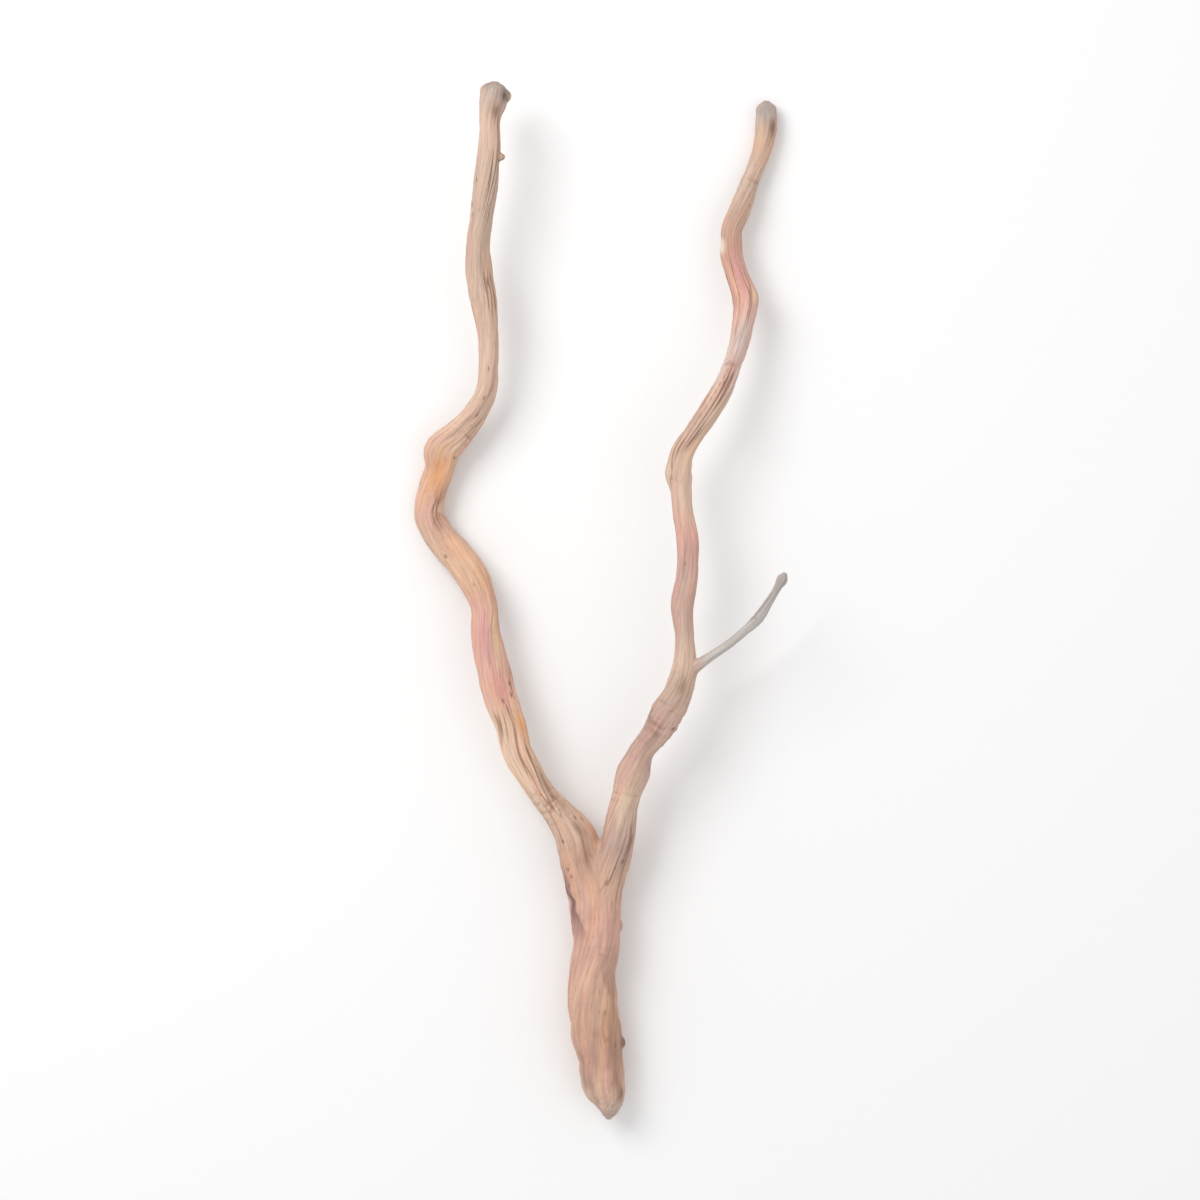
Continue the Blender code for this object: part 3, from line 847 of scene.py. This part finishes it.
def grain_marks_group():
    """Where the wood is warm, rosy or dusky, and its fibres, at a place in its grain."""
    tree, given, result = new_tree(
        "wood_streaks",
        "ShaderNodeTree",
        [("Grain", "NodeSocketVector")],
        [(name, "NodeSocketFloat") for name in STREAKS],
    )
    # Name, width across the grain in millimetres, length as a multiple of it, detail, seed, range
    patterns = [
        ("Warm", 8.0, 11.0, 3.0, 2.0, 0.5, 0.66),
        ("Rosy", 9.0, 9.0, 3.0, 11.0, 0.5, 0.66),
        ("Dusky", 4.0, 14.0, 4.0, 19.0, 0.52, 0.7),
        ("Fibre", 1.3, 22.0, 4.0, 27.0, 0.3, 0.7),
        ("Pore", 0.6, 14.0, 2.0, 35.0, 0.58, 0.72),
    ]
    grain = given.outputs["Grain"]
    for name, width, length, detail, seed, low, high in patterns:
        drawn_out = {0: grain, 1: (1, 1, 1 / length)}
        vector = add(tree, "ShaderNodeVectorMath", drawn_out, operation="MULTIPLY")
        noise = add(
            tree,
            "ShaderNodeTexNoise",
            {"Vector": vector, "W": seed, "Scale": 1 / width, "Detail": detail},
            noise_dimensions="4D",
        )
        shaped = add(
            tree,
            "ShaderNodeMapRange",
            {"Value": noise, "From Min": low, "From Max": high},
            interpolation_type="SMOOTHSTEP",
        )
        tree.links.new(shaped.outputs[0], result.inputs[name])
    # Growth rings lie round the limb's heart and show only on the worn ends
    across = {0: grain, 1: (1 / RING_SPACING, 1 / RING_SPACING, 0)}
    flat = add(tree, "ShaderNodeVectorMath", across, operation="MULTIPLY")
    reach = add(tree, "ShaderNodeVectorMath", {0: flat}, operation="LENGTH").outputs["Value"]
    uneven = add(tree, "ShaderNodeTexNoise", {"Vector": flat, "Scale": 0.35})
    place = add(tree, "ShaderNodeMath", {0: reach, 1: uneven}, operation="ADD")
    ring = add(tree, "ShaderNodeMath", {0: place, 1: 1.0}, operation="PINGPONG")
    tree.links.new(ring.outputs[0], result.inputs["Ring"])
    return tree


def bare_wood(name, colours, roughness, grain_bump):
    """Bare wood without bark, worn by sand and weather: matt, streaked along its winding grain.

    Its fibres and pores are drawn 1.3 and 0.6 mm wide so that they show; real ones are about
    0.1 mm.
    """
    material = bpy.data.materials.new(name)
    material.use_nodes = True
    tree = material.node_tree
    shader = tree.nodes["Principled BSDF"]
    group = bpy.data.node_groups.get("wood_streaks") or grain_marks_group()
    stored = {
        key: add(tree, "ShaderNodeAttribute", attribute_name=key).outputs
        for key in ("share_second", "grain_first", "grain_second", "tone", "end", "hollow")
    }
    first, second = (
        add(tree, "ShaderNodeGroup", {"Grain": stored[key]["Vector"]}, node_tree=group).outputs
        for key in ("grain_first", "grain_second")
    )
    # Sockets 2 and 3 of a mix node are its numbers, and 6 and 7 are its colours
    share = stored["share_second"]["Fac"]
    marks = {
        key: add(
            tree, "ShaderNodeMix", {0: share, 2: first[key], 3: second[key]}, data_type="FLOAT"
        )
        for key in STREAKS
    }
    low, high = FIBRE_LIGHTNESS
    light = add(
        tree, "ShaderNodeMapRange", {"Value": marks["Fibre"], "To Min": low, "To Max": high}
    )
    light_and_dark = add(tree, "ShaderNodeCombineColor", {0: light, 1: light, 2: light})
    ring = add(
        tree, "ShaderNodeMath", {0: stored["end"]["Fac"], 1: marks["Ring"]}, operation="MULTIPLY"
    )
    # What is laid over the tone, from below: where, how strongly, in what colour and how
    flat = {key: (*colour, 1) for key, colour in colours.items()}
    layers = [(marks[key], strength, flat[key], "MIX") for key, strength in STREAK_STRENGTHS.items()]
    layers += [
        (1.0, 1.0, light_and_dark, "MULTIPLY"),
        (marks["Pore"], PORE_STRENGTH, flat["Pore"], "MIX"),
        (ring, RING_STRENGTH, flat["Pore"], "MIX"),
        # Painted shade in the checks, pits and the floors between ridges and wrinkles
        (stored["hollow"]["Fac"], HOLLOW_SHADE_STRENGTH, flat["Hollow"], "MIX"),
    ]
    colour = stored["tone"]["Color"]
    for where, strength, over, way in layers:
        shown = add(tree, "ShaderNodeMath", {0: where, 1: strength}, operation="MULTIPLY")
        laid = {0: shown, 6: colour, 7: over}
        colour = add(tree, "ShaderNodeMix", laid, data_type="RGBA", blend_type=way).outputs[2]
    low, high = (roughness + change for change in FIBRE_ROUGHNESS)
    rough = add(
        tree, "ShaderNodeMapRange", {"Value": marks["Fibre"], "To Min": low, "To Max": high}
    )
    sunk = add(tree, "ShaderNodeMath", {0: marks["Pore"], 1: PORE_BUMP}, operation="MULTIPLY")
    height = add(tree, "ShaderNodeMath", {0: marks["Fibre"], 1: sunk}, operation="ADD")
    bump = add(
        tree,
        "ShaderNodeBump",
        {"Strength": grain_bump, "Distance": BUMP_HEIGHT * MM, "Height": height},
    )
    tree.links.new(colour, shader.inputs["Base Color"])
    tree.links.new(rough.outputs[0], shader.inputs["Roughness"])
    tree.links.new(bump.outputs[0], shader.inputs["Normal"])
    shader.inputs["Specular IOR Level"].default_value = WOOD_SPECULAR
    return material


def close_rims(mesh):
    """Closes the open ends at a piece's partings and turns every face outwards."""
    form = bmesh.new()
    form.from_mesh(mesh)
    bmesh.ops.remove_doubles(form, verts=form.verts, dist=MERGE_DISTANCE * MM)
    rim = [edge for edge in form.edges if edge.is_boundary]
    bmesh.ops.holes_fill(form, edges=rim)
    bmesh.ops.recalc_face_normals(form, faces=form.faces)
    for face in form.faces:
        face.smooth = len(face.verts) <= SKIN_CORNERS
        if not face.smooth:
            for edge in face.edges:
                edge.smooth = False
    form.to_mesh(mesh)
    form.free()


def relief_values():
    """The values of the relief's sockets, with lengths in millimetres."""
    chosen = bpy.context.scene.branch_relief
    values = {name: getattr(chosen, name.lower().replace(" ", "_")) for name in RELIEF_SIZES}
    no_lengths = ("Flute Depth", "Knob Depth", "Seed")
    return {
        name: float(value) if name in no_lengths else value / MM for name, value in values.items()
    }


def dress(name, mesh, limbs, flow, cuts, wood, node):
    """Makes a finished piece from its form: grain, relief, partings, rest on the ground, node."""
    tell_grain(mesh, limbs, flow)
    mesh = raise_relief(mesh, wood, relief_values())
    for limb, distance, beyond in cuts:
        cut_away(mesh, limb, distance, beyond)
    points = points_of(mesh) + np.array(CENTRING)
    points[:, 2] = np.maximum(points[:, 2], 0.0)
    set_points(mesh, points)
    close_rims(mesh)
    mesh.name = name
    piece = bpy.data.objects.new(name, mesh)
    bpy.context.scene.collection.objects.link(piece)
    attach(piece, BODY)
    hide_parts(node)


def dress_limb(name, limb, start, rings, wood, node):
    """Makes the finished piece of one limb from a parting to the tip."""
    points, faces = tube(limb, start - BEYOND_THE_CUT, limb.length, rings)
    cuts = [(limb, start - SEAM_OVERLAP, False)]
    dress(name, mesh_of(node, points, faces), [limb], 0, cuts, wood, node)


def worn_hardwood():
    """Dense hardwood, bark off and sand-worn: satin-matt, with orange, pink and mauve streaks."""
    chosen = bpy.context.scene.branch_colours
    names = ("Warm", "Rosy", "Dusky", "Pore", "Hollow")
    colours = {name: tuple(getattr(chosen, name.lower())) for name in names}
    found = bpy.data.materials.get("worn_hardwood")
    return found or bare_wood("worn_hardwood", colours, roughness=0.68, grain_bump=0.55)


def weathered_twig_wood():
    """Thin wood that has gone grey in sun and rain: dry, matt and finely split."""
    colours = {
        "Warm": colour_of("#C9B5A6"),
        "Rosy": colour_of("#BDAAA3"),
        "Dusky": colour_of("#9F968F"),
        "Pore": colour_of("#857B74"),
        # The colour of the painted shade in the twig's hollows
        "Hollow": colour_of("#776C65"),
    }
    found = bpy.data.materials.get("weathered_twig_wood")
    return found or bare_wood("weathered_twig_wood", colours, roughness=0.8, grain_bump=0.6)


def matt_white_paper():
    """A roll of uncoated background paper: nearly white and without gloss."""
    paper = bpy.data.materials.new("matt_white_paper")
    paper.use_nodes = True
    shader = paper.node_tree.nodes["Principled BSDF"]
    shader.inputs["Base Color"].default_value = (*colour_of("#FAFAFA"), 1)
    shader.inputs["Roughness"].default_value = 0.9
    return paper


def chosen_length(name, description, millimetres):
    """A length that a user can change."""
    return FloatProperty(
        name=name, description=description, default=millimetres * MM, unit="LENGTH"
    )


def chosen_share(name, description, part):
    """A share of the limb's radius that a user can change."""
    description += ", as a share of the limb's radius"
    return FloatProperty(
        name=name, description=description, default=part, min=0, max=1, subtype="FACTOR"
    )


def chosen_colour(name, description, hex_colour):
    """A colour that a user can change."""
    return FloatVectorProperty(
        name=name, description=description, subtype="COLOR", default=colour_of(hex_colour)
    )


class BranchRelief(bpy.types.PropertyGroup):
    """The sizes of the wood's relief"""

    flute_depth: chosen_share("Flute depth", "Depth of the broad flutes", 0.09)
    flute_width: chosen_length("Flute width", "Width of the broad flutes", 9)
    knob_depth: chosen_share("Knob depth", "Depth of the knobbly unevenness", 0.07)
    knob_width: chosen_length("Knob width", "Width of the knobs", 13)
    grain_depth: chosen_length("Grain depth", "Height of the raised grain", 0.3)
    grain_width: chosen_length("Grain width", "Spacing of the raised grain", 2.4)
    wrinkle_depth: chosen_length("Wrinkle depth", "Height of the fine wrinkles at the bends", 0.75)
    check_depth: chosen_length("Check depth", "Depth of the drying checks", 1.1)
    pit_depth: chosen_length("Pit depth", "Depth of the small pits", 0.8)
    seed: IntProperty(name="Seed", description="Place of the pattern in the grain", default=3)


class BranchColours(bpy.types.PropertyGroup):
    """The colours of the wood's streaks and pores, and of the painted shade in its hollows"""

    warm: chosen_colour("Warm streaks", "Orange streaks in the wood", "#E8B084")
    rosy: chosen_colour("Rosy streaks", "Pink streaks in the wood", "#DFA396")
    dusky: chosen_colour("Dusky streaks", "Mauve streaks in the wood", "#B08F84")
    pore: chosen_colour("Pores", "Fine dark lines of the grain", "#94705E")
    # The colour of the painted shade in the hollows
    hollow: chosen_colour("Hollows", "Checks, pits and furrows", "#86614F")


class BRANCH_OT_stem(bpy.types.Operator):
    """Make the stem with its worn butt and the main fork"""

    bl_idname = "branch.stem"
    bl_label = "Stem"

    def execute(self, context):
        limbs = [MAIN, RIGHT]
        cuts = [(MAIN, LEFT_LIMB_START, True), (RIGHT, RIGHT_LIMB_START, True)]
        runs = [(0, LEFT_LIMB_START + BEYOND_THE_CUT), (0, RIGHT_LIMB_START + BEYOND_THE_CUT)]
        mesh = fork_mesh("stem", limbs, MAIN_FORK_FLOW, runs, STEM_VOXEL)
        dress("worn_stem", mesh, limbs, MAIN_FORK_FLOW, cuts, worn_hardwood(), "stem")
        return {"FINISHED"}


class BRANCH_OT_left_limb(bpy.types.Operator):
    """Make the left limb with its elbow, knobby tip and broken spur"""

    bl_idname = "branch.left_limb"
    bl_label = "Left limb"

    def execute(self, context):
        wood = worn_hardwood()
        dress_limb("worn_left_limb", MAIN, LEFT_LIMB_START, LEFT_LIMB_RINGS, wood, "left_limb")
        return {"FINISHED"}


class BRANCH_OT_right_limb(bpy.types.Operator):
    """Make the right limb, below and above the place where the side twig leaves"""

    bl_idname = "branch.right_limb"
    bl_label = "Right limb"

    def execute(self, context):
        limbs = [RIGHT, TWIG]
        cuts = [
            (RIGHT, RIGHT_LIMB_START - SEAM_OVERLAP, False),
            (RIGHT, RIGHT_LEADER_START, True),
            (TWIG, TWIG_START, True),
        ]
        runs = [
            (RIGHT_LIMB_START - BEYOND_THE_CUT, RIGHT_LEADER_START + BEYOND_THE_CUT),
            (0, TWIG_START + BEYOND_THE_CUT),
        ]
        mesh = fork_mesh("right_limb_lower", limbs, TWIG_FORK_FLOW, runs, RIGHT_LIMB_VOXEL)
        wood = worn_hardwood()
        dress("worn_right_limb", mesh, limbs, TWIG_FORK_FLOW, cuts, wood, "right_limb_lower")
        start = RIGHT_LEADER_START
        dress_limb("worn_right_leader", RIGHT, start, LEADER_RINGS, wood, "right_limb_upper")
        return {"FINISHED"}


class BRANCH_OT_side_twig(bpy.types.Operator):
    """Make the slim grey side twig"""

    bl_idname = "branch.side_twig"
    bl_label = "Side twig"

    def execute(self, context):
        wood = weathered_twig_wood()
        dress_limb("weathered_side_twig", TWIG, TWIG_START, TWIG_RINGS, wood, "side_twig")
        return {"FINISHED"}


class BRANCH_OT_stage(bpy.types.Operator):
    """Lay the pale floor, set the soft studio light and look straight down on the branch"""

    bl_idname = "branch.stage"
    bl_label = "Stage"

    def execute(self, context):
        scene = context.scene
        floor_mesh = bpy.data.meshes.new("studio_floor")
        half = FLOOR_WIDTH / 2
        corners = [(-half, -half, 0), (half, -half, 0), (half, half, 0), (-half, half, 0)]
        floor_mesh.from_pydata(corners, [], [(0, 1, 2, 3)])
        floor_mesh.materials.append(matt_white_paper())
        floor = bpy.data.objects.new("studio_floor", floor_mesh)
        scene.collection.objects.link(floor)

        world = bpy.data.worlds.new("studio")
        world.use_nodes = True
        world.node_tree.nodes["Background"].inputs["Color"].default_value = (1, 1, 1, 1)
        world.node_tree.nodes["Background"].inputs["Strength"].default_value = SKY_STRENGTH
        scene.world = world
        for name, place, size, power in STUDIO_LIGHTS:
            data = bpy.data.lights.new(name, "AREA")
            data.size = size
            data.energy = power
            light = bpy.data.objects.new(name, data)
            light.location = place
            light.rotation_euler = (-Vector(place)).to_track_quat("-Z", "Y").to_euler()
            scene.collection.objects.link(light)

        data = bpy.data.cameras.new("camera")
        data.lens = LENS
        data.sensor_width = SENSOR_WIDTH
        camera = bpy.data.objects.new("camera", data)
        camera.location = CAMERA_PLACE
        scene.collection.objects.link(camera)
        scene.camera = camera
        scene.view_settings.view_transform = "Standard"
        return {"FINISHED"}


class BRANCH_PT_panel(bpy.types.Panel):
    """The branch's pieces and the values that shape them"""

    bl_label = "Fallen Tree Branch"
    bl_idname = "BRANCH_PT_panel"
    bl_space_type = "VIEW_3D"
    bl_region_type = "UI"
    bl_category = "Branch"

    def draw(self, context):
        for group in (context.scene.branch_relief, context.scene.branch_colours):
            for name in group.__annotations__:
                self.layout.prop(group, name)
        for operator in OPERATORS:
            self.layout.operator(operator.bl_idname)


OPERATORS = (
    BRANCH_OT_stem,
    BRANCH_OT_left_limb,
    BRANCH_OT_right_limb,
    BRANCH_OT_side_twig,
    BRANCH_OT_stage,
)
CLASSES = (BranchRelief, BranchColours, *OPERATORS, BRANCH_PT_panel)


def register():
    for item in CLASSES:
        bpy.utils.register_class(item)
    bpy.types.Scene.branch_relief = PointerProperty(type=BranchRelief)
    bpy.types.Scene.branch_colours = PointerProperty(type=BranchColours)


def unregister():
    del bpy.types.Scene.branch_colours
    del bpy.types.Scene.branch_relief
    for item in reversed(CLASSES):
        bpy.utils.unregister_class(item)


def main():
    """Makes the branch and its studio."""
    register()
    bpy.ops.branch.stem()
    bpy.ops.branch.left_limb()
    bpy.ops.branch.right_limb()
    bpy.ops.branch.side_twig()
    bpy.ops.branch.stage()


if __name__ == "__main__":
    main()
